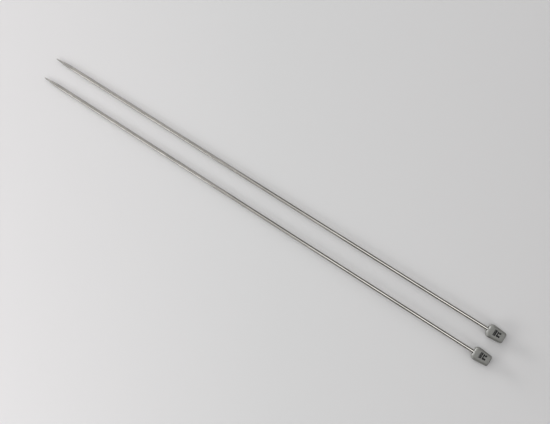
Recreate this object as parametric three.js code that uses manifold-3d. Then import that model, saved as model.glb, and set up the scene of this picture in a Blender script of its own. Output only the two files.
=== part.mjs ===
// A pair of straight knitting needles, 350 mm long and 2.5 mm thick, laid side by side on a table.
// Each needle is a polished steel rod, ground to a point at one end, with a plastic head moulded onto the other.
// The head stops the stitches. Its two flats stop the needle from rolling, and its wide shoulder carries it on the
// table, so the rod slopes down from the head and touches the table just behind its point.
// Sizes are in millimetres, with +Z up. The points lie towards -X and the heads towards +X.
// The origin is on the table, under the middle of the pair. Left and right are as seen from behind the heads.

import * as THREE from "three";
import { mergeVertices } from "three/addons/utils/BufferGeometryUtils.js";
import Module from "manifold-3d";

const wasm = await Module();
wasm.setup();

// The whole needle, from the tip of the rod to the end of the head.
const needleLength = 350;

// The rod and its point: a round tip, a straight cone, and a soft blend where the cone meets the rod.
const rodDiameter = 2.5;
const tipRadius = 0.3;
const coneLength = 10.5;
const coneBlend = 2;

// The hidden end of the rod: grooves rolled into it, which the plastic fills, and a chamfer.
const grooveCount = 3;
const groovePitch = 2.2;
const grooveWidth = 1.1;
const grooveDepth = 0.22;
const lastGrooveFromButt = 1.6;
const buttChamfer = 0.3;

// The head: a flattened block with round edges. It is widest at its shoulder and tapers to its end. Its front is a
// low strip across the needle, from which the shoulder swells like a cushion.
const headLength = 13.2;
const frontWidth = 3.6;
const frontThickness = 1.0;
const frontRounding = 0.4;
const shoulderLength = 3.3;
const shoulderWidth = 9.3;
const shoulderThickness = 6.4;
const shoulderRounding = 1.8;
const endWidth = 7.5;
const endThickness = 6.0;
const endRounding = 1.6;

// The round edge between the head's sides and its flat end face, and the corners of that face.
const edgeRadius = 1.3;
const endFaceRounding = 0.3;

// The mouth of the head: a round recess about the rod, wider than the front strip. The shoulder falls away above
// and below it, so the mouth's edge dips there, and the recess is deep enough to reach past the dip.
const recessGap = 0.7;
const recessDepth = 1.1;

// The plastic between the rod's hidden end and the end of the head.
const endWall = 3.6;

// The gap all round the rod inside the head.
const seatGap = 0.05;

// How the two needles lie: the distance between their axes at the tips and at the fronts of the heads.
const tipSpacing = 14.8;
const headSpacing = 17.7;

// How finely the round surfaces are faceted.
const roundSides = 32;
const cornerSteps = 6;
const shoulderSteps = 8;
const edgeSteps = 5;
const bodySteps = 3;
const curveSteps = 6;

const rodRadius = rodDiameter / 2;
const rodLength = needleLength - endWall - seatGap;
const pointLength = coneLength + coneBlend;
const headFront = needleLength - headLength;
const recessRadius = rodRadius + recessGap;

const steel = new THREE.MeshStandardMaterial({ color: 0xc9c8c4, metalness: 1, roughness: 0.2 });
const greyPlastic = new THREE.MeshStandardMaterial({ color: 0x777874, metalness: 0, roughness: 0.45 });

// The point's outline as (radius, distance from the tip): an arc, its tangent cone, and the blend into the rod.
function pointOutline() {
  const arcCentreToConeEnd = coneLength - tipRadius;
  const slant = Math.hypot(rodRadius, arcCentreToConeEnd);
  const coneAngle = Math.atan2(rodRadius, arcCentreToConeEnd) - Math.asin(tipRadius / slant);
  const outline = new THREE.Path();
  outline.absarc(0, tipRadius, tipRadius, -Math.PI / 2, -coneAngle, false);
  outline.lineTo(rodRadius - coneBlend * Math.sin(coneAngle), coneLength - coneBlend * Math.cos(coneAngle));
  outline.quadraticCurveTo(rodRadius, coneLength, rodRadius, pointLength);
  return outline.getPoints(curveSteps);
}

// The outline of the rod's hidden end, from its first groove to the axis, grown outwards by a gap. The grooves'
// flanks and the chamfer all stand at 45 degrees, so every corner moves along the rod by the same shift.
function buttOutline(gap) {
  const shift = gap * Math.tan(Math.PI / 8);
  const top = rodRadius + gap;
  const bottom = top - grooveDepth;
  const halfTop = grooveWidth / 2 - shift;
  const halfBottom = halfTop - grooveDepth;
  const points = [];
  for (let i = grooveCount - 1; i >= 0; i--) {
    const middle = rodLength - lastGrooveFromButt - i * groovePitch;
    points.push(new THREE.Vector2(top, middle - halfTop));
    points.push(new THREE.Vector2(bottom, middle - halfBottom));
    points.push(new THREE.Vector2(bottom, middle + halfBottom));
    points.push(new THREE.Vector2(top, middle + halfTop));
  }
  points.push(new THREE.Vector2(top, rodLength - buttChamfer + shift));
  points.push(new THREE.Vector2(rodRadius - buttChamfer + shift, rodLength + gap));
  points.push(new THREE.Vector2(0, rodLength + gap));
  return points;
}

// A revolved body. Its outline is (radius, distance along the needle), and it turns about the needle's axis.
function revolve(points) {
  return new THREE.LatheGeometry(points, roundSides).rotateZ(-Math.PI / 2);
}

// One ring of points round the head: a rectangle with round corners, standing across the needle's axis.
function headRing({ along, width, thickness, rounding }) {
  const ring = [];
  for (let corner = 0; corner < 4; corner++) {
    const start = (corner * Math.PI) / 2;
    const centreY = Math.sign(Math.cos(start + Math.PI / 4)) * (width / 2 - rounding);
    const centreZ = Math.sign(Math.sin(start + Math.PI / 4)) * (thickness / 2 - rounding);
    for (let k = 0; k <= cornerSteps; k++) {
      const angle = start + (k / cornerSteps) * (Math.PI / 2);
      const y = centreY + rounding * Math.cos(angle);
      const z = centreZ + rounding * Math.sin(angle);
      ring.push(new THREE.Vector3(along, y, z));
    }
  }
  return ring;
}

// The section of the head's tapering body, at a distance from its front face.
function bodySection(along) {
  const share = (along - shoulderLength) / (headLength - shoulderLength);
  return {
    along,
    width: THREE.MathUtils.lerp(shoulderWidth, endWidth, share),
    thickness: THREE.MathUtils.lerp(shoulderThickness, endThickness, share),
    rounding: THREE.MathUtils.lerp(shoulderRounding, endRounding, share),
  };
}

// The section of the shoulder, which swells out of the front strip along a quarter of an ellipse. It turns through
// a right angle, from square to the rod at the front to level with the body.
function shoulderSection(turn) {
  const widest = bodySection(shoulderLength);
  const swell = Math.sin(turn);
  return {
    along: shoulderLength * (1 - Math.cos(turn)),
    width: THREE.MathUtils.lerp(frontWidth, widest.width, swell),
    thickness: THREE.MathUtils.lerp(frontThickness, widest.thickness, swell),
    rounding: THREE.MathUtils.lerp(frontRounding, widest.rounding, swell),
  };
}

// The section of the end's round edge, which turns in from the body to the end face through a right angle.
function edgeSection(turn) {
  const body = bodySection(headLength - edgeRadius * (1 - Math.sin(turn)));
  const turnedIn = 1 - Math.cos(turn);
  return {
    along: body.along,
    width: body.width - 2 * edgeRadius * turnedIn,
    thickness: body.thickness - 2 * edgeRadius * turnedIn,
    rounding: THREE.MathUtils.lerp(body.rounding, endFaceRounding, turnedIn),
  };
}

// The head's sections from front to end: shoulder, body and round edge.
function headSections() {
  const rightAngle = Math.PI / 2;
  const bodyEnd = headLength - edgeRadius;
  const sections = [];
  for (let i = 0; i < shoulderSteps; i++) {
    sections.push(shoulderSection((i / shoulderSteps) * rightAngle));
  }
  for (let i = 0; i < bodySteps; i++) {
    sections.push(bodySection(THREE.MathUtils.lerp(shoulderLength, bodyEnd, i / bodySteps)));
  }
  for (let i = 0; i <= edgeSteps; i++) {
    sections.push(edgeSection((i / edgeSteps) * rightAngle));
  }
  return sections;
}

// A closed skin over a row of rings that all have the same number of points, with a flat cap on each end.
function skinOver(rings) {
  const count = rings[0].length;
  const points = rings.flat();
  const triangles = [];
  for (let r = 0; r + 1 < rings.length; r++) {
    for (let k = 0; k < count; k++) {
      const here = r * count + k;
      const beside = r * count + ((k + 1) % count);
      triangles.push(here, beside, beside + count);
      triangles.push(here, beside + count, here + count);
    }
  }
  const lastRing = (rings.length - 1) * count;
  const frontCentre = points.push(new THREE.Vector3(rings[0][0].x, 0, 0)) - 1;
  const endCentre = points.push(new THREE.Vector3(rings.at(-1)[0].x, 0, 0)) - 1;
  for (let k = 0; k < count; k++) {
    const next = (k + 1) % count;
    triangles.push(frontCentre, next, k);
    triangles.push(endCentre, lastRing + k, lastRing + next);
  }
  return new THREE.BufferGeometry().setFromPoints(points).setIndex(triangles);
}

// A closed geometry as a solid that can be cut, and back again.
function toSolid(geometry) {
  const bare = geometry.clone();
  bare.deleteAttribute("normal");
  bare.deleteAttribute("uv");
  const merged = mergeVertices(bare);
  return new wasm.Manifold(
    new wasm.Mesh({
      numProp: 3,
      vertProperties: new Float32Array(merged.attributes.position.array),
      triVerts: new Uint32Array(merged.index.array),
    }),
  );
}

function toGeometry(solid) {
  const mesh = solid.getMesh();
  const geometry = new THREE.BufferGeometry();
  geometry.setAttribute("position", new THREE.BufferAttribute(mesh.vertProperties, 3));
  geometry.setIndex(new THREE.BufferAttribute(mesh.triVerts, 1));
  geometry.computeVertexNormals();
  return geometry;
}

// The rod, with its tip at the origin and its axis along +X.
function rodGeometry() {
  return revolve([...pointOutline(), ...buttOutline(0)]);
}

// The cut that the rod's hidden end makes in the head, with the recess at its mouth. It starts as far in front
// of the head as the recess is deep.
function seatCut() {
  const boreRadius = rodRadius + seatGap;
  return revolve([
    new THREE.Vector2(0, headFront - recessDepth),
    new THREE.Vector2(recessRadius, headFront - recessDepth),
    new THREE.Vector2(recessRadius, headFront + recessDepth),
    new THREE.Vector2(boreRadius, headFront + recessDepth),
    ...buttOutline(seatGap),
  ]);
}

// The head, in its place on the rod's hidden end.
function headGeometry() {
  const block = skinOver(headSections().map(headRing)).translate(headFront, 0, 0);
  return toGeometry(toSolid(block).subtract(toSolid(seatCut())));
}

// One needle, with its tip at the group's origin. It rests on the table at two places: under the wide shoulder of
// the head, and under the start of the rod's full thickness. The slope and the height of the tip follow from both.
function needle(name) {
  const group = new THREE.Group();
  const shaft = new THREE.Mesh(rodGeometry(), steel);
  shaft.name = name + "_shaft";
  const head = new THREE.Mesh(headGeometry(), greyPlastic);
  head.name = name + "_head";
  group.add(shaft, head);

  const shoulderFromTip = headFront + shoulderLength;
  const slope = Math.atan((shoulderThickness / 2 - rodRadius) / (shoulderFromTip - pointLength));
  group.rotation.order = "ZYX";
  group.rotation.y = -slope;
  group.position.z = rodRadius * Math.cos(slope) - pointLength * Math.sin(slope);
  return group;
}

// The pair, spread a little wider at the heads than at the tips, and moved so that the origin is under its middle.
function pairOfNeedles() {
  const pair = new THREE.Group();
  const spread = Math.atan((headSpacing - tipSpacing) / 2 / headFront);
  const right = needle("right_needle");
  right.position.y = tipSpacing / 2;
  right.rotation.z = spread;
  const left = needle("left_needle");
  left.position.y = -tipSpacing / 2;
  left.rotation.z = -spread;
  pair.add(right, left);

  const box = new THREE.Box3().setFromObject(pair, true);
  const middle = box.getCenter(new THREE.Vector3());
  pair.position.set(-middle.x, -middle.y, -box.min.z);
  return pair;
}

const knittingNeedles = new THREE.Group();
knittingNeedles.add(pairOfNeedles());

export default knittingNeedles;
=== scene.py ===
import math

import bmesh
import bpy
from mathutils import Matrix, Vector, noise


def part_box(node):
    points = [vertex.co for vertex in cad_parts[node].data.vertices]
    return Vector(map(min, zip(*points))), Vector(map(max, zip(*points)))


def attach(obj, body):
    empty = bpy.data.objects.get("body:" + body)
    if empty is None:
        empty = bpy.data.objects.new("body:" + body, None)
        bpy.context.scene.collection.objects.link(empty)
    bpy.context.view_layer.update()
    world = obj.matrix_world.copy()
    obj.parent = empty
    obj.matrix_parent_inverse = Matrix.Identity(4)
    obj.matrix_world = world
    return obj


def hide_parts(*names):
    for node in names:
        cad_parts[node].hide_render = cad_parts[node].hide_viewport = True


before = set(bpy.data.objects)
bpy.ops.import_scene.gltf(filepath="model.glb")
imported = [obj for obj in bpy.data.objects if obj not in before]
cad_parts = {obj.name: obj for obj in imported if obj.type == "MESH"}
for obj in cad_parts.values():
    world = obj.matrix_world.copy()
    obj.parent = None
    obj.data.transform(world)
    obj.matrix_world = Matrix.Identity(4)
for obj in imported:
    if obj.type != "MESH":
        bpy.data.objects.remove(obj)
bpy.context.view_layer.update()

# Two straight knitting needles on a pale table: polished steel rods with printed grey plastic heads.
# Everything is in metres. A needle is built with its tip at the origin, its axis along +X and its printed
# flat up, and is then moved to the place that the frame gives it.
mm = 0.001
needleNames = ["right_needle", "left_needle"]


# Camera

view = {
    "imageSize": (550, 424),
    "originPixel": (273.70, 209.31),  # where the frame's origin shows
    "turn": math.radians(32.32),  # from the image's horizontal down to the needles' line
    "acrossImage": 364.8 * mm,  # what the image's width covers, at the needles' height
    "needleHeight": 2.5 * mm,
    "lens": 150.0,
    "sensor": 36.0,
}
imageRight = Vector((math.cos(view["turn"]), math.sin(view["turn"]), 0))
imageUp = Vector((-math.sin(view["turn"]), math.cos(view["turn"]), 0))


def makeCamera():
    # the camera looks straight down at the point that shows in the image's middle
    perPixel = view["acrossImage"] / view["imageSize"][0]
    fromOriginX = view["imageSize"][0] / 2 - view["originPixel"][0]
    fromOriginY = view["imageSize"][1] / 2 - view["originPixel"][1]
    aim = imageRight * fromOriginX * perPixel - imageUp * fromOriginY * perPixel
    distance = view["acrossImage"] * view["lens"] / view["sensor"]
    data = bpy.data.cameras.new("camera")
    data.lens = view["lens"]
    data.sensor_width = view["sensor"]
    data.sensor_fit = "HORIZONTAL"
    camera = bpy.data.objects.new("camera", data)
    camera.location = aim + Vector((0, 0, view["needleHeight"] + distance))
    camera.rotation_euler = (0, 0, view["turn"])
    bpy.context.scene.collection.objects.link(camera)
    bpy.context.scene.camera = camera


makeCamera()
print("camera ready")


# Helpers for nodes and meshes


def lerp(a, b, share):
    return a + (b - a) * share


def addNode(tree, kind, inputs=None, **settings):
    # inputs: socket name or number -> value, or another node's output to link
    node = tree.nodes.new(kind)
    for name, value in settings.items():
        setattr(node, name, value)
    for key, value in (inputs or {}).items():
        if isinstance(value, bpy.types.NodeSocket):
            tree.links.new(value, node.inputs[key])
        else:
            node.inputs[key].default_value = value
    return node


def compute(tree, operation, *values):
    return addNode(tree, "ShaderNodeMath", dict(enumerate(values)), operation=operation).outputs[0]


def newGeometryTree(name, sizes):
    # a Geometry Nodes tree with one named input for each size; gives back the tree and its inputs
    tree = bpy.data.node_groups.new(name, "GeometryNodeTree")
    tree.interface.new_socket("Geometry", in_out="INPUT", socket_type="NodeSocketGeometry")
    tree.interface.new_socket("Geometry", in_out="OUTPUT", socket_type="NodeSocketGeometry")
    for label, value in sizes.items():
        kind = "NodeSocketInt" if isinstance(value, int) else "NodeSocketFloat"
        tree.interface.new_socket(label, in_out="INPUT", socket_type=kind)
    return tree, addNode(tree, "NodeGroupInput").outputs


def endTree(tree, geometry, material):
    real = addNode(tree, "GeometryNodeRealizeInstances", {"Geometry": geometry})
    painted = addNode(tree, "GeometryNodeSetMaterial", {"Geometry": real.outputs[0], "Material": material})
    addNode(tree, "NodeGroupOutput", {"Geometry": painted.outputs[0]})


def bakeTree(piece, tree, sizes):
    # runs the tree on the piece and keeps the result as its plain mesh
    modifier = piece.modifiers.new(tree.name, "NODES")
    modifier.node_group = tree
    for socket in tree.interface.items_tree:
        if socket.name in sizes:
            modifier[socket.identifier] = sizes[socket.name]
    evaluated = piece.evaluated_get(bpy.context.evaluated_depsgraph_get())
    mesh = bpy.data.meshes.new_from_object(evaluated)
    piece.modifiers.remove(modifier)
    piece.data = mesh
    return piece


def newPiece(name, mesh=None):
    piece = bpy.data.objects.new(name, mesh or bpy.data.meshes.new(name))
    bpy.context.scene.collection.objects.link(piece)
    return piece


def newMaterial(name, **constants):
    material = bpy.data.materials.new(name)
    material.use_nodes = True
    shader = material.node_tree.nodes["Principled BSDF"]
    for label, value in constants.items():
        shader.inputs[label.replace("_", " ")].default_value = value
    return material, material.node_tree, shader


def linkShader(tree, shader, **sockets):
    for label, socket in sockets.items():
        tree.links.new(socket, shader.inputs[label.replace("_", " ")])


noiseSpan = (0.3, 0.7)  # nearly all of a noise lies between these values


def stretchedNoise(tree, scale, detail=3.0):
    # noise with its own number of cells to the metre along X, Y and Z
    place = addNode(tree, "ShaderNodeTexCoord").outputs["Object"]
    mapping = addNode(tree, "ShaderNodeMapping", {"Vector": place, "Scale": scale})
    inputs = {"Vector": mapping.outputs[0], "Scale": 1.0, "Detail": detail}
    return addNode(tree, "ShaderNodeTexNoise", inputs).outputs["Fac"]


def mapRange(tree, value, low, high, toLow, toHigh, ease="LINEAR"):
    inputs = {"Value": value, "From Min": low, "From Max": high, "To Min": toLow, "To Max": toHigh}
    return addNode(tree, "ShaderNodeMapRange", inputs, interpolation_type=ease).outputs["Result"]


def mixColours(tree, factor, first, second):
    # each colour is three numbers, or another node's output
    inputs = {0: factor, 6: first, 7: second}  # the numbers of the node's sockets for the two colours
    for key in (6, 7):
        if isinstance(inputs[key], tuple):
            inputs[key] = (*inputs[key], 1)
    return addNode(tree, "ShaderNodeMix", inputs, data_type="RGBA").outputs[2]


def bumpFrom(tree, height, strength, depth):
    inputs = {"Strength": strength, "Distance": depth, "Height": height}
    return addNode(tree, "ShaderNodeBump", inputs).outputs[0]


# Where each needle lies: its tip is the shaft's vertex farthest towards -X, its hidden end the middle of the
# face farthest towards +X, and its printed flat faces as straight up as the line between them allows

buttFaceDepth = 0.1 * mm


def placeOf(name):
    points = [vertex.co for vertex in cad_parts[name + "_shaft"].data.vertices]
    tip = min(points, key=lambda point: point.x)
    farthest = max(point.x for point in points)
    buttFace = [point for point in points if farthest - point.x < buttFaceDepth]
    butt = sum(buttFace, Vector()) / len(buttFace)
    along = (butt - tip).normalized()
    across = Vector((0, 0, 1)).cross(along).normalized()
    up = along.cross(across)
    turn = Matrix((along, across, up)).transposed()
    return Matrix.Translation(tip) @ turn.to_4x4()


places = {name: placeOf(name) for name in needleNames}
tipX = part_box("right_needle_shaft")[0].x  # both points lie at the same X


# Steel rods: drawn wire, ground to a point, with rolled grooves on the end that the head hides

needleLength = 350 * mm
endWall = 3.6 * mm  # plastic between the rod's hidden end and the end of the head
seatGap = 0.05 * mm

rod = {
    "Length": needleLength - endWall - seatGap,
    "Radius": 1.25 * mm,
    "Tip Radius": 0.3 * mm,
    "Cone Length": 10.5 * mm,
    "Cone Blend": 2.0 * mm,
    "Groove Count": 3,
    "Groove Pitch": 2.2 * mm,
    "Groove Width": 1.1 * mm,
    "Groove Depth": 0.22 * mm,
    "Last Groove": 1.6 * mm,  # from the hidden end
    "Chamfer": 0.3 * mm,
    "Hidden Length": 8.0 * mm,  # the stretch that has the close rings, for the grooves
    "Body Rings": 200,
    "Ring Crowding": 2.0,  # 1 spaces the body's rings evenly, more brings them closer towards the tip
    "Hidden Rings": 160,
    "Sides": 64,
    "Weld": 0.0001 * mm,  # points closer than this are merged
}
rodSharpAngle = math.radians(30)  # an edge that turns more than this stays sharp

steelLook = {
    "colour": (0.56, 0.54, 0.505),
    "dullColour": (0.48, 0.465, 0.435),
    "pointShadeColour": (0.40, 0.388, 0.365),  # painted shade: the points are darker, so that they mirror the low light beyond them more dimly
    "drawnLines": (45, 7000, 7000),  # cells to the metre: long thin lines along the rod
    "groundLines": (11000, 500, 500),  # fine rings round the point
    "lineStrength": 0.3,
    "lineDepth": 0.004 * mm,
    "roughness": (0.06, 0.12),
    "clouds": (60, 260, 260),  # where the polish has dulled
    "cloudSpan": (0.42, 0.68),  # the noise's values at which a cloud begins and is full
    "cloudRoughness": 0.04,  # added in a full cloud
}


def steelMaterial():
    material, tree, shader = newMaterial("polishedSteel", Metallic=1.0)
    drawn = stretchedNoise(tree, steelLook["drawnLines"])
    ground = stretchedNoise(tree, steelLook["groundLines"])
    clouds = stretchedNoise(tree, steelLook["clouds"], detail=2.0)
    place = addNode(tree, "ShaderNodeTexCoord").outputs["Object"]
    alongX = addNode(tree, "ShaderNodeSeparateXYZ", {0: place}).outputs["X"]
    pointEnd = tipX + rod["Cone Length"]
    onPoint = mapRange(tree, alongX, pointEnd, pointEnd + rod["Cone Blend"], 1.0, 0.0)
    lines = addNode(tree, "ShaderNodeMix", {"Factor": onPoint, "A": drawn, "B": ground}).outputs["Result"]
    dulled = mapRange(tree, clouds, *steelLook["cloudSpan"], 0.0, 1.0)
    rough = mapRange(tree, lines, *noiseSpan, *steelLook["roughness"])
    rough = compute(tree, "MULTIPLY_ADD", dulled, steelLook["cloudRoughness"], rough)
    bump = bumpFrom(tree, lines, steelLook["lineStrength"], steelLook["lineDepth"])
    colour = mixColours(tree, dulled, steelLook["colour"], steelLook["dullColour"])
    # painted shade: darker steel on the points stands in for their dimmer reflection
    colour = mixColours(tree, onPoint, colour, steelLook["pointShadeColour"])
    linkShader(tree, shader, Base_Color=colour, Roughness=rough, Normal=bump)
    return material


def coneAngle(tipRadius, rodRadius, coneLength):
    # the cone's half angle, where it touches the round tip and reaches the rod's radius at the cone's end
    arcToConeEnd = coneLength - tipRadius
    return math.atan2(rodRadius, arcToConeEnd) - math.asin(tipRadius / math.hypot(rodRadius, arcToConeEnd))


def rodTree(material):
    # a grid whose rows become rings: a ring's number sets its place along the rod, and a rule its radius
    tree, given = newGeometryTree("turnedRod", rod)

    def calc(operation, *values):
        return compute(tree, operation, *values)

    rings = calc("ADD", calc("ADD", given["Body Rings"], given["Hidden Rings"]), 2)
    columns = calc("ADD", given["Sides"], 1)
    inputs = {"Size X": 1.0, "Size Y": 1.0, "Vertices X": rings, "Vertices Y": columns}
    grid = addNode(tree, "GeometryNodeMeshGrid", inputs)
    place = addNode(tree, "GeometryNodeInputPosition").outputs[0]
    gridX, gridY, _ = addNode(tree, "ShaderNodeSeparateXYZ", {0: place}).outputs
    lastRing = calc("SUBTRACT", rings, 1)
    ring = calc("ROUND", calc("MULTIPLY", calc("ADD", gridX, 0.5), lastRing))

    # along the body, then along the hidden end
    bodyShare = calc("MINIMUM", calc("DIVIDE", ring, given["Body Rings"]), 1.0)
    hiddenShare = calc("DIVIDE", calc("SUBTRACT", ring, given["Body Rings"]), given["Hidden Rings"])
    hiddenShare = calc("MINIMUM", calc("MAXIMUM", hiddenShare, 0.0), 1.0)
    bodyLength = calc("SUBTRACT", given["Length"], given["Hidden Length"])
    onBody = calc("MULTIPLY", bodyLength, calc("POWER", bodyShare, given["Ring Crowding"]))
    along = calc("MULTIPLY_ADD", given["Hidden Length"], hiddenShare, onBody)

    # the round tip, then the cone, which blends into the rod
    angle = coneAngle(rod["Tip Radius"], rod["Radius"], rod["Cone Length"])
    tipRadius = given["Tip Radius"]
    arcSquare = calc("MULTIPLY", along, calc("SUBTRACT", calc("MULTIPLY", tipRadius, 2.0), along))
    arc = calc("SQRT", calc("MAXIMUM", arcSquare, 0.0))
    pastTouch = calc("SUBTRACT", along, calc("MULTIPLY", tipRadius, 1 - math.sin(angle)))
    radiusAtTouch = calc("MULTIPLY", tipRadius, math.cos(angle))
    cone = calc("MULTIPLY_ADD", pastTouch, math.tan(angle), radiusAtTouch)
    onCone = calc("GREATER_THAN", pastTouch, 0.0)
    point = addNode(tree, "ShaderNodeMix", {"Factor": onCone, "A": arc, "B": cone}).outputs["Result"]
    blend = calc("MULTIPLY", given["Cone Blend"], math.tan(angle))
    radius = calc("SMOOTH_MIN", point, given["Radius"], blend)

    # the rolled grooves, counted from the hidden end, and the chamfer
    fromButt = calc("SUBTRACT", given["Length"], along)
    fromLast = calc("SUBTRACT", fromButt, given["Last Groove"])
    nearest = calc("ROUND", calc("DIVIDE", fromLast, given["Groove Pitch"]))
    highest = calc("SUBTRACT", given["Groove Count"], 1)
    nearest = calc("MINIMUM", calc("MAXIMUM", nearest, 0.0), highest)
    middle = calc("MULTIPLY", nearest, given["Groove Pitch"])
    fromMiddle = calc("ABSOLUTE", calc("SUBTRACT", fromLast, middle))
    cut = calc("SUBTRACT", calc("MULTIPLY", given["Groove Width"], 0.5), fromMiddle)
    cut = calc("MINIMUM", calc("MAXIMUM", cut, 0.0), given["Groove Depth"])
    radius = calc("SUBTRACT", radius, cut)
    chamfered = calc("ADD", calc("SUBTRACT", given["Radius"], given["Chamfer"]), fromButt)
    radius = calc("MINIMUM", radius, chamfered)
    beforeLastRing = calc("LESS_THAN", ring, calc("SUBTRACT", lastRing, 0.5))
    radius = calc("MULTIPLY", radius, beforeLastRing)  # the last ring closes the end

    turn = calc("MULTIPLY", calc("ADD", gridY, 0.5), -2 * math.pi)
    y = calc("MULTIPLY", radius, calc("COSINE", turn))
    z = calc("MULTIPLY", radius, calc("SINE", turn))
    position = addNode(tree, "ShaderNodeCombineXYZ", {"X": along, "Y": y, "Z": z}).outputs[0]
    inputs = {"Geometry": grid.outputs["Mesh"], "Position": position}
    shaped = addNode(tree, "GeometryNodeSetPosition", inputs)
    inputs = {"Geometry": shaped.outputs[0], "Name": "UVMap", "Value": grid.outputs["UV Map"]}
    mapped = addNode(tree, "GeometryNodeStoreNamedAttribute", inputs, data_type="FLOAT2", domain="CORNER")
    inputs = {"Geometry": mapped.outputs[0], "Distance": given["Weld"]}
    closed = addNode(tree, "GeometryNodeMergeByDistance", inputs)
    endTree(tree, closed.outputs[0], material)
    return tree


def makeRod(name, tree):
    piece = bakeTree(newPiece(name + "_steel_rod"), tree, rod)
    piece.data.shade_smooth()
    piece.data.set_sharp_from_angle(angle=rodSharpAngle)
    piece.data.transform(places[name])
    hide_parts(name + "_shaft")
    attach(piece, name)


steelTree = rodTree(steelMaterial())
for name in needleNames:
    makeRod(name, steelTree)
print("steel rods ready")


# Plastic heads: one closed skin, from the bottom of the bore out over the mouth and the shoulder to the end
# face. The front is a low strip, from which the shoulder swells like a cushion, with a round recess about
# the rod.

head = {
    "length": 13.2 * mm,
    "frontWidth": 3.6 * mm,
    "frontThickness": 1.0 * mm,
    "frontRounding": 0.4 * mm,
    "shoulderLength": 3.3 * mm,
    "shoulderWidth": 9.3 * mm,
    "shoulderThickness": 6.4 * mm,
    "shoulderRounding": 1.8 * mm,
    "endWidth": 7.5 * mm,
    "endThickness": 6.0 * mm,
    "endRounding": 1.6 * mm,
    "edgeRadius": 1.3 * mm,
    "endFaceRounding": 0.3 * mm,
    "recessGap": 0.7 * mm,
    "recessDepth": 1.1 * mm,
    "lip": 0.15 * mm,  # the recess's edge is rounded by about this much
    "sides": 144,
    "shoulderSteps": 22,
    "bodySteps": 10,
    "edgeSteps": 12,
    "lipSteps": 4,
    "faceSteps": 6,
}
headFront = needleLength - head["length"]
skinWeld = 0.0005 * mm  # points closer than this are merged
skinSharpAngle = math.radians(40)  # an edge that turns more than this stays sharp
turnHalvings = 24  # how often turnWhere halves its search

plasticLook = {
    "colour": (0.118, 0.118, 0.107),
    "paleColour": (0.145, 0.145, 0.132),
    "grain": (5200, 5200, 5200),  # cells to the metre: the mould's fine texture
    "grainStrength": 0.35,
    "grainDepth": 0.012 * mm,
    "roughness": (0.35, 0.47),
    "mottle": (760, 760, 760),  # paler and darker patches
    "mottleSpan": (0.35, 0.65),  # the noise's values at which a pale patch begins and is full
}


def plasticMaterial():
    material, tree, shader = newMaterial("greyPlastic", Specular_IOR_Level=1.0)
    grain = stretchedNoise(tree, plasticLook["grain"], detail=4.0)
    mottle = stretchedNoise(tree, plasticLook["mottle"], detail=2.0)
    mottle = mapRange(tree, mottle, *plasticLook["mottleSpan"], 0.0, 1.0)
    colour = mixColours(tree, mottle, plasticLook["colour"], plasticLook["paleColour"])
    bump = bumpFrom(tree, grain, plasticLook["grainStrength"], plasticLook["grainDepth"])
    rough = mapRange(tree, grain, *noiseSpan, *plasticLook["roughness"])
    linkShader(tree, shader, Base_Color=colour, Roughness=rough, Normal=bump)
    return material


def bodySection(along):
    share = (along - head["shoulderLength"]) / (head["length"] - head["shoulderLength"])
    return {
        "along": along,
        "width": lerp(head["shoulderWidth"], head["endWidth"], share),
        "thickness": lerp(head["shoulderThickness"], head["endThickness"], share),
        "rounding": lerp(head["shoulderRounding"], head["endRounding"], share),
    }


def shoulderSection(turn):
    widest = bodySection(head["shoulderLength"])
    swell = math.sin(turn)
    return {
        "along": head["shoulderLength"] * (1 - math.cos(turn)),
        "width": lerp(head["frontWidth"], widest["width"], swell),
        "thickness": lerp(head["frontThickness"], widest["thickness"], swell),
        "rounding": lerp(head["frontRounding"], widest["rounding"], swell),
    }


def edgeSection(turn):
    body = bodySection(head["length"] - head["edgeRadius"] * (1 - math.sin(turn)))
    turnedIn = 1 - math.cos(turn)
    inset = 2 * head["edgeRadius"] * turnedIn
    return {
        "along": body["along"],
        "width": body["width"] - inset,
        "thickness": body["thickness"] - inset,
        "rounding": lerp(body["rounding"], head["endFaceRounding"], turnedIn),
    }


def outerSections(start=0.0):
    # from the shoulder's turn at the start, over the body and the round edge, to the middle of the end face
    quarter = math.pi / 2
    bodyEnd = head["length"] - head["edgeRadius"]
    steps = head["shoulderSteps"]
    sections = [shoulderSection(lerp(start, quarter, i / steps)) for i in range(steps)]
    for i in range(head["bodySteps"]):
        sections.append(bodySection(lerp(head["shoulderLength"], bodyEnd, i / head["bodySteps"])))
    sections += [edgeSection(i / head["edgeSteps"] * quarter) for i in range(head["edgeSteps"] + 1)]
    face = sections[-1]
    for i in range(1, head["faceSteps"]):
        size = 1 - i / head["faceSteps"]
        smaller = {key: face[key] * size for key in ("width", "thickness", "rounding")}
        sections.append({"along": face["along"], **smaller})
    return sections


def reach(section, direction):
    # distance from the axis to the section's outline: a rectangle with round corners
    y, z = abs(direction.x), abs(direction.y)
    halfY, halfZ, rounding = section["width"] / 2, section["thickness"] / 2, section["rounding"]
    if y * halfZ > 0 and z / y * halfY <= halfZ - rounding:
        return halfY / y
    if z * halfY > 0 and y / z * halfZ <= halfY - rounding:
        return halfZ / z
    towards = y * (halfY - rounding) + z * (halfZ - rounding)
    cornerSquare = (halfY - rounding) ** 2 + (halfZ - rounding) ** 2
    return towards + math.sqrt(max(towards**2 - cornerSquare + rounding**2, 0))


def turnWhere(direction, radius):
    # the shoulder's turn where it comes this near the axis, or 0 where its front strip is wider than that
    low, high = 0.0, math.pi / 2
    if reach(shoulderSection(low), direction) >= radius:
        return low
    for _ in range(turnHalvings):
        middle = (low + high) / 2
        if reach(shoulderSection(middle), direction) < radius:
            low = middle
        else:
            high = middle
    return high


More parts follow.
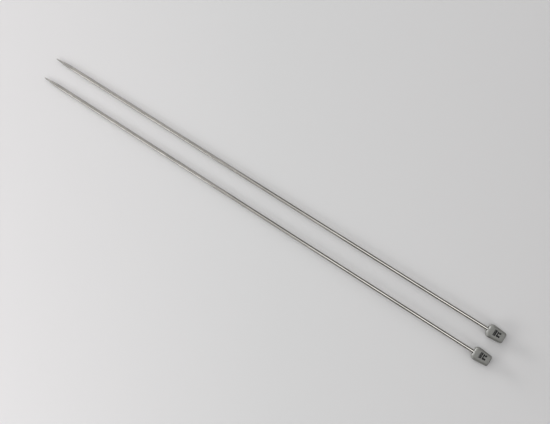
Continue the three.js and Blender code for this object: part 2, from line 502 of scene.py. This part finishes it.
def boreOutline():
    # points as (along, radius) from the bore's blind end: it follows the grooved rod, one seat gap away
    shift = seatGap * math.tan(math.pi / 8)
    blind = head["length"] - endWall
    top = rod["Radius"] + seatGap
    bottom = top - rod["Groove Depth"]
    halfTop = rod["Groove Width"] / 2 - shift
    halfBottom = halfTop - rod["Groove Depth"]
    points = [(blind, rod["Radius"] - rod["Chamfer"] + shift)]
    points += [(blind - seatGap - rod["Chamfer"] + shift, top)]
    for i in range(rod["Groove Count"]):
        middle = blind - seatGap - rod["Last Groove"] - i * rod["Groove Pitch"]
        points += [(middle + halfTop, top), (middle + halfBottom, bottom)]
        points += [(middle - halfBottom, bottom), (middle - halfTop, top)]
    return points + [(head["recessDepth"], top)]


def mouthOutline(direction):
    # up the recess's wall and over its round lip, which dips wherever the shoulder falls away
    wall = rod["Radius"] + head["recessGap"]
    lip = head["lip"]
    edge = shoulderSection(turnWhere(direction, wall))["along"]
    lipEnd = shoulderSection(turnWhere(direction, wall + lip))["along"]
    points = [(head["recessDepth"], wall)]
    for i in range(head["lipSteps"] + 1):
        share = i / head["lipSteps"]
        along = lerp(lerp(edge + lip, edge, share), lerp(edge, lipEnd, share), share)
        points.append((along, wall + lip * share**2))
    return points


def headOutline(direction):
    # every point of the skin in one direction from the axis, as (along, radius)
    start = turnWhere(direction, rod["Radius"] + head["recessGap"] + head["lip"])
    outside = [(section["along"], reach(section, direction)) for section in outerSections(start)]
    return boreOutline() + mouthOutline(direction) + outside


def skinOver(columns, material, name):
    # a closed skin over columns of points that run from pole to pole, with a pole on the axis at each end
    skin = bmesh.new()
    grid = [[skin.verts.new(point) for point in column] for column in columns]
    poles = [skin.verts.new((columns[0][row].x, 0, 0)) for row in (0, -1)]
    for here, beside in zip(grid, grid[1:] + grid[:1]):
        for row in range(len(here) - 1):
            skin.faces.new((here[row], here[row + 1], beside[row + 1], beside[row]))
        skin.faces.new((here[0], beside[0], poles[0]))
        skin.faces.new((here[-1], beside[-1], poles[1]))
    bmesh.ops.remove_doubles(skin, verts=skin.verts, dist=skinWeld)
    bmesh.ops.recalc_face_normals(skin, faces=skin.faces)
    mesh = bpy.data.meshes.new(name)
    skin.to_mesh(mesh)
    skin.free()
    mesh.shade_smooth()
    mesh.set_sharp_from_angle(angle=skinSharpAngle)
    mesh.materials.append(material)
    return mesh


def directions(count):
    turns = [(i + 0.5) / count * 2 * math.pi for i in range(count)]
    return [Vector((math.cos(turn), math.sin(turn))) for turn in turns]


def headMesh(material):
    columns = []
    for direction in directions(head["sides"]):
        outline = headOutline(direction)
        columns.append([Vector((headFront + along, *(direction * radius))) for along, radius in outline])
    return skinOver(columns, material, "mouldedHead")


def makeHead(name, material):
    piece = newPiece(name + "_moulded_head", headMesh(material))
    piece.data.transform(places[name])
    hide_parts(name + "_head")
    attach(piece, name)


greyPlastic = plasticMaterial()
for name in needleNames:
    makeHead(name, greyPlastic)
print("heads ready")


# The mould's marks: a fine line round each head where the halves met, and the trimmed gate on the end face

mouldMarks = {
    "Bead Radius": 0.045 * mm,
    "Bead Sides": 8,
}
gate = {
    "width": 1.3 * mm,
    "thickness": 0.8 * mm,
    "height": 0.12 * mm,
    "rounding": 0.3 * mm,
    "topRounding": 0.075 * mm,
    "rings": 6,
    "sides": 28,
    "sunk": 0.02 * mm,
    "tearSize": 0.2 * mm,
    "tearDepth": 0.03 * mm,
}


def beadTree(material):
    tree, given = newGeometryTree("mouldLine", mouldMarks)
    line = addNode(tree, "GeometryNodeMeshToCurve", {"Mesh": given["Geometry"]})
    inputs = {"Resolution": given["Bead Sides"], "Radius": given["Bead Radius"]}
    circle = addNode(tree, "GeometryNodeCurvePrimitiveCircle", inputs)
    inputs = {"Curve": line.outputs[0], "Profile Curve": circle.outputs[0], "Fill Caps": True}
    bead = addNode(tree, "GeometryNodeCurveToMesh", inputs)
    endTree(tree, bead.outputs[0], material)
    return tree


def makeMouldLine(name, tree):
    # the path runs in the head's middle plane, from the recess's lip along one side, over the end and back
    start = turnWhere(Vector((1, 0)), rod["Radius"] + head["recessGap"] + head["lip"])
    face = [section for section in outerSections(start) if section["width"] > gate["width"]]
    oneSide = [Vector((headFront + s["along"], s["width"] / 2, 0)) for s in face]
    points = oneSide + [Vector((p.x, -p.y, 0)) for p in reversed(oneSide)]
    path = bpy.data.meshes.new("mouldLinePath")
    path.from_pydata(points, [(i, i + 1) for i in range(len(points) - 1)], [])
    piece = bakeTree(newPiece(name + "_mould_line", path), tree, mouldMarks)
    piece.data.shade_smooth()
    piece.data.transform(places[name])
    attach(piece, name)


def gateSection(share):
    turn = share * math.pi / 2
    inset = gate["rounding"] * (1 - math.cos(turn))
    return {
        "along": gate["height"] * math.sin(turn),
        "width": gate["width"] - 2 * inset,
        "thickness": gate["thickness"] - 2 * inset,
        "rounding": lerp(gate["rounding"], gate["topRounding"], share),
    }


def makeGate(name, material):
    # a low stub with round edges, its foot sunk a little into the end face, its top torn where it was cut
    columns = []
    for direction in directions(gate["sides"]):
        foot = direction * reach(gateSection(0), direction)
        column = [Vector((needleLength - gate["sunk"], *foot))]
        for i in range(gate["rings"]):
            share = i / (gate["rings"] - 1)
            section = gateSection(share)
            y, z = direction * reach(section, direction)
            torn = noise.noise(Vector((y, z, 0)) / gate["tearSize"]) * gate["tearDepth"] * share
            column.append(Vector((needleLength + section["along"] + torn, y, z)))
        columns.append(column)
    mesh = skinOver(columns, material, "gateMark")
    mesh.transform(places[name])
    piece = newPiece(name + "_gate_mark", mesh)
    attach(piece, name)


lineTree = beadTree(greyPlastic)
for name in needleNames:
    makeMouldLine(name, lineTree)
    makeGate(name, greyPlastic)
print("mould marks ready")


# Size marks: two rows of black ink on each upper flat, read with the head's end at the top

sizeMark = {
    "rows": [
        {
            "text": "2.5",
            "width": 3.8 * mm,
            "height": 2.7 * mm,
            "footFromEnd": 6.1 * mm,
            "boldness": 0.092,
            "spacing": 1.22,
        },
        {
            "text": "mm",
            "width": 4.2 * mm,
            "height": 2.0 * mm,
            "footFromEnd": 8.45 * mm,
            "boldness": 0.061,
            "spacing": 1.08,
        },
    ],
    "middle": {"right_needle": 0.44 * mm, "left_needle": 0.56 * mm},  # how far off the middle, to +Y
    "curveSteps": 6,
    "weld": 0.001 * mm,  # points closer than this are merged
    "inkThickness": 0.03 * mm,
    "colour": (0.003, 0.003, 0.004),
    "wornColour": (0.02, 0.02, 0.019),
    "specks": (9000, 9000, 9000),  # cells to the metre: where the ink has worn
    "speckSpan": (0.62, 0.7),  # the noise's values at which a speck begins and is full
}


def inkMaterial():
    material, tree, shader = newMaterial("blackInk", Roughness=0.6, Specular_IOR_Level=0.1)
    specks = stretchedNoise(tree, sizeMark["specks"], detail=2.0)
    worn = mapRange(tree, specks, *sizeMark["speckSpan"], 0.0, 1.0)
    linkShader(tree, shader, Base_Color=mixColours(tree, worn, sizeMark["colour"], sizeMark["wornColour"]))
    return material


def textMesh(row):
    # one row of text as a mesh, with its foot on the X axis and its middle on the Y axis
    curve = bpy.data.curves.new("sizeText", "FONT")
    curve.body = row["text"]
    curve.offset = row["boldness"]
    curve.space_character = row["spacing"]
    curve.resolution_u = sizeMark["curveSteps"]
    holder = newPiece("sizeText", curve)
    mesh = bpy.data.meshes.new_from_object(holder.evaluated_get(bpy.context.evaluated_depsgraph_get()))
    bpy.data.objects.remove(holder)
    low = Vector((min(v.co.x for v in mesh.vertices), min(v.co.y for v in mesh.vertices), 0))
    high = Vector((max(v.co.x for v in mesh.vertices), max(v.co.y for v in mesh.vertices), 0))
    middleFoot = Vector(((low.x + high.x) / 2, low.y, 0))
    scale = Matrix.Diagonal((row["width"] / (high.x - low.x), row["height"] / (high.y - low.y), 1, 1))
    mesh.transform(scale @ Matrix.Translation(-middleFoot))
    return mesh


def thicken(mesh, thickness):
    # gives the flat letters the ink's thickness, half of it sunk into the plastic
    solid = bmesh.new()
    solid.from_mesh(mesh)
    bmesh.ops.remove_doubles(solid, verts=solid.verts, dist=sizeMark["weld"])
    grown = bmesh.ops.extrude_face_region(solid, geom=solid.faces[:])
    top = [item for item in grown["geom"] if isinstance(item, bmesh.types.BMVert)]
    bmesh.ops.translate(solid, verts=top, vec=(0, 0, thickness))
    bmesh.ops.translate(solid, verts=solid.verts, vec=(0, 0, -thickness / 2))
    bmesh.ops.recalc_face_normals(solid, faces=solid.faces)
    for face in solid.faces:
        face.smooth = False
    solid.to_mesh(mesh)
    solid.free()


def flatPlace(fromEnd, across):
    # a frame on the head's upper flat: its X points to -Y, its Y to the head's end and its Z off the flat
    along = head["length"] - fromEnd
    drop = (head["shoulderThickness"] - head["endThickness"]) / 2
    slope = math.atan2(drop, head["length"] - head["shoulderLength"])
    height = bodySection(along)["thickness"] / 2
    toEnd = Vector((math.cos(slope), 0, -math.sin(slope)))
    outwards = Vector((math.sin(slope), 0, math.cos(slope)))
    turn = Matrix((Vector((0, -1, 0)), toEnd, outwards)).transposed()
    return Matrix.Translation((headFront + along, across, height)) @ turn.to_4x4()


def makeSizeMark(name, material):
    rows = []
    for row in sizeMark["rows"]:
        mesh = textMesh(row)
        thicken(mesh, sizeMark["inkThickness"])
        mesh.transform(flatPlace(row["footFromEnd"], sizeMark["middle"][name]))
        rows.append(mesh)
    ink = bmesh.new()
    for mesh in rows:
        ink.from_mesh(mesh)
        bpy.data.meshes.remove(mesh)
    joined = bpy.data.meshes.new("sizeMark")
    ink.to_mesh(joined)
    ink.free()
    joined.materials.clear()
    joined.materials.append(material)
    joined.transform(places[name])
    piece = newPiece(name + "_size_mark", joined)
    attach(piece, name)


blackInk = inkMaterial()
for name in needleNames:
    makeSizeMark(name, blackInk)
print("size marks ready")


# Table, light and surroundings

table = {
    "size": 6.0,
    "roughness": 0.75,
    "specular": 0.2,
    # the pale table's colour with painted light: it darkens from the image's left edge to its right edge,
    # where less light falls, at stops in metres from the middle
    "stops": [(-0.18, (0.718, 0.705, 0.709)), (0.0, (0.633, 0.631, 0.632)), (0.18, (0.592, 0.586, 0.588))],
}
light = {
    "dome": 0.02,
    # soft patches on the dome, in degrees: azimuth 0 lies beyond the heads, 90 beside the right needle and
    # 180 beyond the points; a patch is full within its inner radius and fades out to its outer one
    "patches": [
        {"azimuth": 0, "elevation": 90, "inner": 18, "outer": 53, "strength": 0.25},
        {"azimuth": 0, "elevation": 90, "inner": 10, "outer": 26, "strength": 0.38},
        {"azimuth": 0, "elevation": 38, "inner": 18, "outer": 37, "strength": 1.28},
        {"azimuth": 45, "elevation": 12, "inner": 14, "outer": 33, "strength": 1.17},
        {"azimuth": 135, "elevation": 38, "inner": 18, "outer": 37, "strength": 0.96},
        {"azimuth": 180, "elevation": 38, "inner": 18, "outer": 37, "strength": 0.42},
        {"azimuth": 180, "elevation": 4, "inner": 6, "outer": 19, "strength": 21.0},
        {"azimuth": 225, "elevation": 12, "inner": 14, "outer": 33, "strength": 1.50},
    ],
    "brightestMirrored": 1.9,  # in a reflection, a brighter part of the dome shows only this bright
    "backdrop": (0.62, 0.61, 0.61),
    # each lamp is aimed square at the table's X axis
    "lamps": [
        {"name": "window", "place": (-0.465, -0.70, 0.40), "size": (0.77, 0.28), "power": 2.31},
        {"name": "fill", "place": (-0.45, 0.70, 0.36), "size": (0.8, 0.40), "power": 0.6},
        {"name": "overhead", "place": (0.285, 0, 1.60), "size": (0.47, 1.25), "power": 2.4},
        # dimmer strips beside the window and the overhead lamp, so that their lines on the rods fade out
        {"name": "windowEdge", "place": (-0.01, -0.70, 0.40), "size": (0.14, 0.28), "power": 0.15},
        {"name": "overheadEdge", "place": (-0.025, 0, 1.60), "size": (0.15, 1.25), "power": 0.29},
    ],
}


def makeTable():
    constants = {"Roughness": table["roughness"], "Specular_IOR_Level": table["specular"]}
    material, tree, shader = newMaterial("paleTable", **constants)
    place = addNode(tree, "ShaderNodeTexCoord").outputs["Object"]
    acrossImage = addNode(tree, "ShaderNodeVectorMath", {0: place, 1: imageRight}, operation="DOT_PRODUCT")
    # painted light: the ramp darkens the pale table towards the image's right, standing in for the light
    # falling off across it
    ramp = addNode(tree, "ShaderNodeValToRGB")
    first, last = table["stops"][0][0], table["stops"][-1][0]
    share = mapRange(tree, acrossImage.outputs["Value"], first, last, 0.0, 1.0)
    tree.links.new(share, ramp.inputs[0])
    stops = ramp.color_ramp.elements
    for _ in table["stops"][len(stops):]:
        stops.new(0.5)  # anywhere: every stop is placed below
    for stop, (at, colour) in zip(stops, table["stops"]):
        stop.position = (at - first) / (last - first)
        stop.color = (*colour, 1)
    linkShader(tree, shader, Base_Color=ramp.outputs[0])
    half = table["size"] / 2
    corners = [(-half, -half, 0), (half, -half, 0), (half, half, 0), (-half, half, 0)]
    mesh = bpy.data.meshes.new("table")
    mesh.from_pydata(corners, [], [(0, 1, 2, 3)])
    mesh.materials.append(material)
    newPiece("table", mesh)


def makeLights():
    for given in light["lamps"]:
        data = bpy.data.lights.new(given["name"], "AREA")
        data.shape = "RECTANGLE"
        data.size, data.size_y = given["size"]
        data.energy = given["power"]
        lamp = bpy.data.objects.new(given["name"], data)
        lamp.location = given["place"]
        across = Vector((1, 0, 0))
        back = Vector((0, *given["place"][1:])).normalized()
        upwards = back.cross(across).normalized()
        lamp.rotation_euler = Matrix((across, upwards, back)).transposed().to_euler()
        lamp.visible_camera = False
        bpy.context.scene.collection.objects.link(lamp)


def makeWorld():
    # a soft dome, dark but for its patches; the camera sees a plain pale backdrop instead
    world = bpy.data.worlds.new("studio")
    world.use_nodes = True
    tree = world.node_tree
    tree.nodes.clear()
    direction = addNode(tree, "ShaderNodeTexCoord").outputs["Generated"]
    strength = addNode(tree, "ShaderNodeValue").outputs[0]
    strength.default_value = light["dome"]
    for patch in light["patches"]:
        azimuth, elevation = math.radians(patch["azimuth"]), math.radians(patch["elevation"])
        level = math.cos(elevation)
        towards = (math.cos(azimuth) * level, math.sin(azimuth) * level, math.sin(elevation))
        near = addNode(tree, "ShaderNodeVectorMath", {0: direction, 1: towards}, operation="DOT_PRODUCT")
        edge, core = math.cos(math.radians(patch["outer"])), math.cos(math.radians(patch["inner"]))
        glow = mapRange(tree, near.outputs["Value"], edge, core, 0.0, patch["strength"], "SMOOTHSTEP")
        strength = compute(tree, "ADD", strength, glow)
    rays = addNode(tree, "ShaderNodeLightPath").outputs
    mirrored = compute(tree, "MINIMUM", strength, light["brightestMirrored"])
    inputs = {"Factor": rays["Is Glossy Ray"], "A": strength, "B": mirrored}
    strength = addNode(tree, "ShaderNodeMix", inputs).outputs["Result"]
    dome = addNode(tree, "ShaderNodeBackground", {"Color": (1, 1, 1, 1), "Strength": strength})
    backdrop = addNode(tree, "ShaderNodeBackground", {"Color": (*light["backdrop"], 1)})
    inputs = {0: rays["Is Camera Ray"], 1: dome.outputs[0], 2: backdrop.outputs[0]}
    seen = addNode(tree, "ShaderNodeMixShader", inputs)
    addNode(tree, "ShaderNodeOutputWorld", {0: seen.outputs[0]})
    bpy.context.scene.world = world


makeTable()
makeLights()
makeWorld()
bpy.context.scene.view_settings.view_transform = "Standard"
print("table and light ready")
